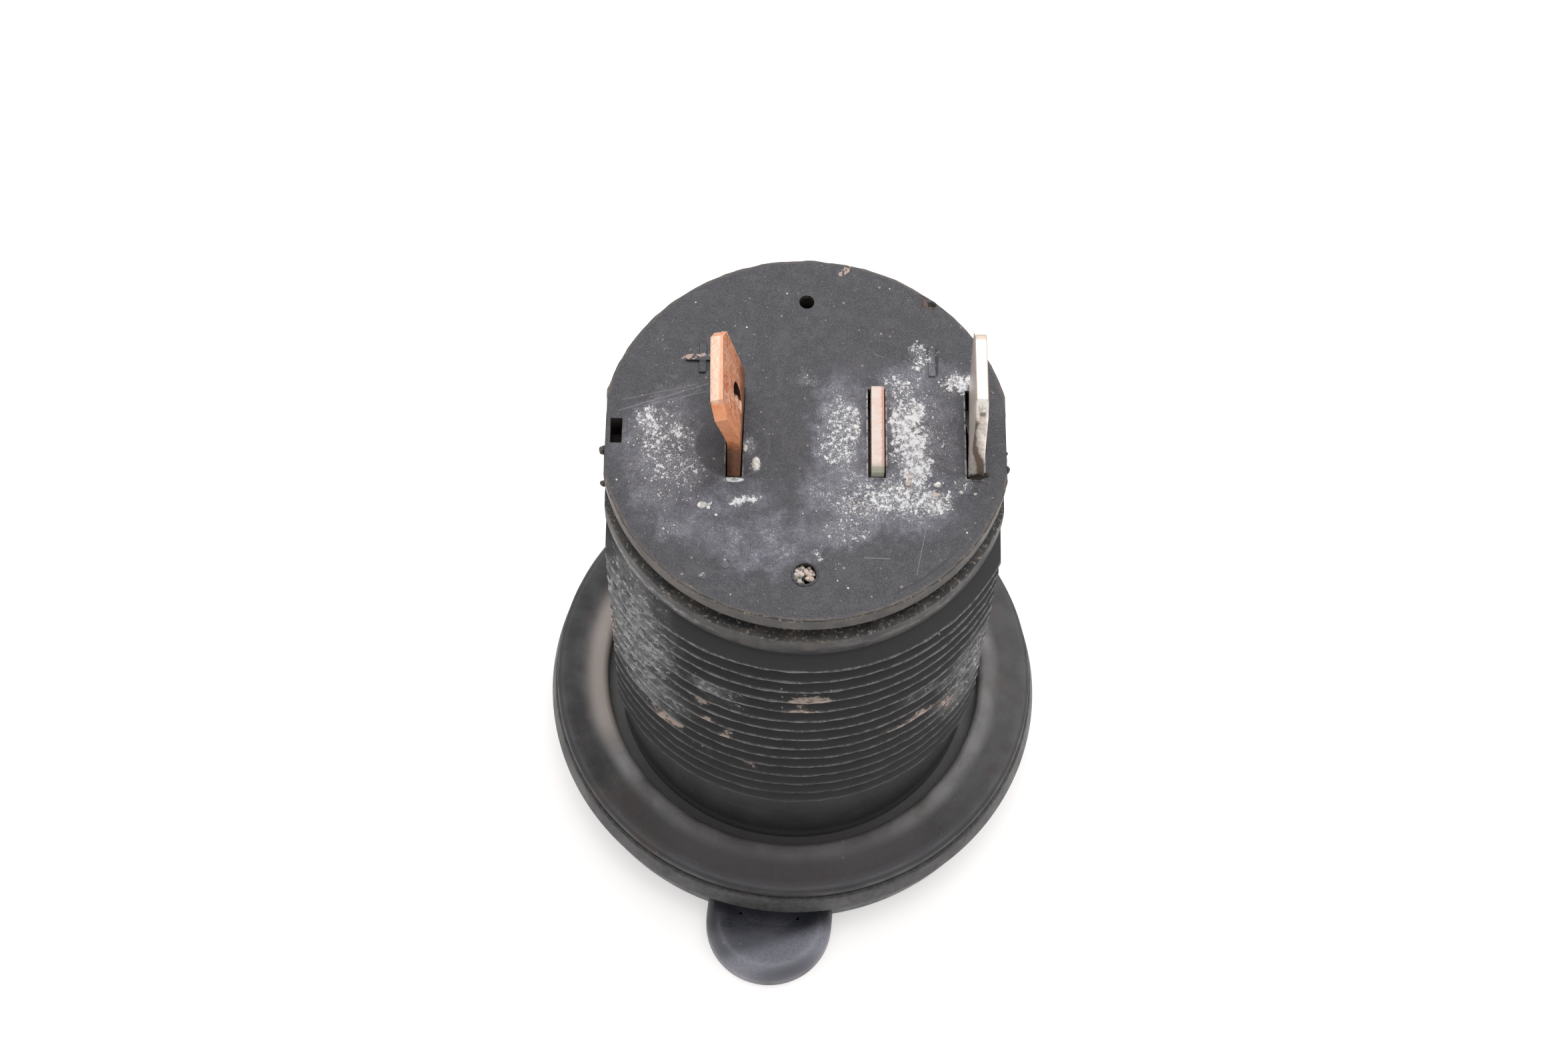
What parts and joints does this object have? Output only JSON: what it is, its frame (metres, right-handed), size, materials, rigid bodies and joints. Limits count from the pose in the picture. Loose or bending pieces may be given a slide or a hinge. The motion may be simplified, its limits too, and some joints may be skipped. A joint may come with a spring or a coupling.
{
  "type": "car 12 v power socket",
  "caption": "Panel-mount round power socket: threaded barrel with flats, flange, metal shell, blade terminals and a tethered rubber cap with a pull tab.",
  "frame": {"origin": "centre of the panel seat, the rear face of the seal ring, on the socket's axis", "axes": "+Z along the axis from the mouth towards the terminals, +Y from the pull tab towards the strap, +X towards the shell's blade"},
  "size_m": [0.037, 0.0434, 0.0508],
  "materials": {
    "housing_plastic": "satin black moulding, dusty",
    "plated_metal": "tin plating, dull and stained",
    "bare_copper": "worn copper",
    "rivet_brass": "dull brass",
    "cap_rubber": "smooth dusty rubber"
  },
  "bodies": {
    "socket": {"housing": "housing_plastic", "socket_shell": "plated_metal", "contact_strap": "bare_copper", "contact_cup": "plated_metal", "contact_rivet": "rivet_brass", "seal_ring": "cap_rubber"},
    "cap": {"cap": "cap_rubber"}
  },
  "joints": [
    {"name": "cap_hinge", "type": "hinge", "parent": "socket", "child": "cap", "pos_m": [0.00173, 0.02013, -0.003], "axis": [0.9963, -0.0854, 0], "range_deg": [0, 160]}
  ]
}
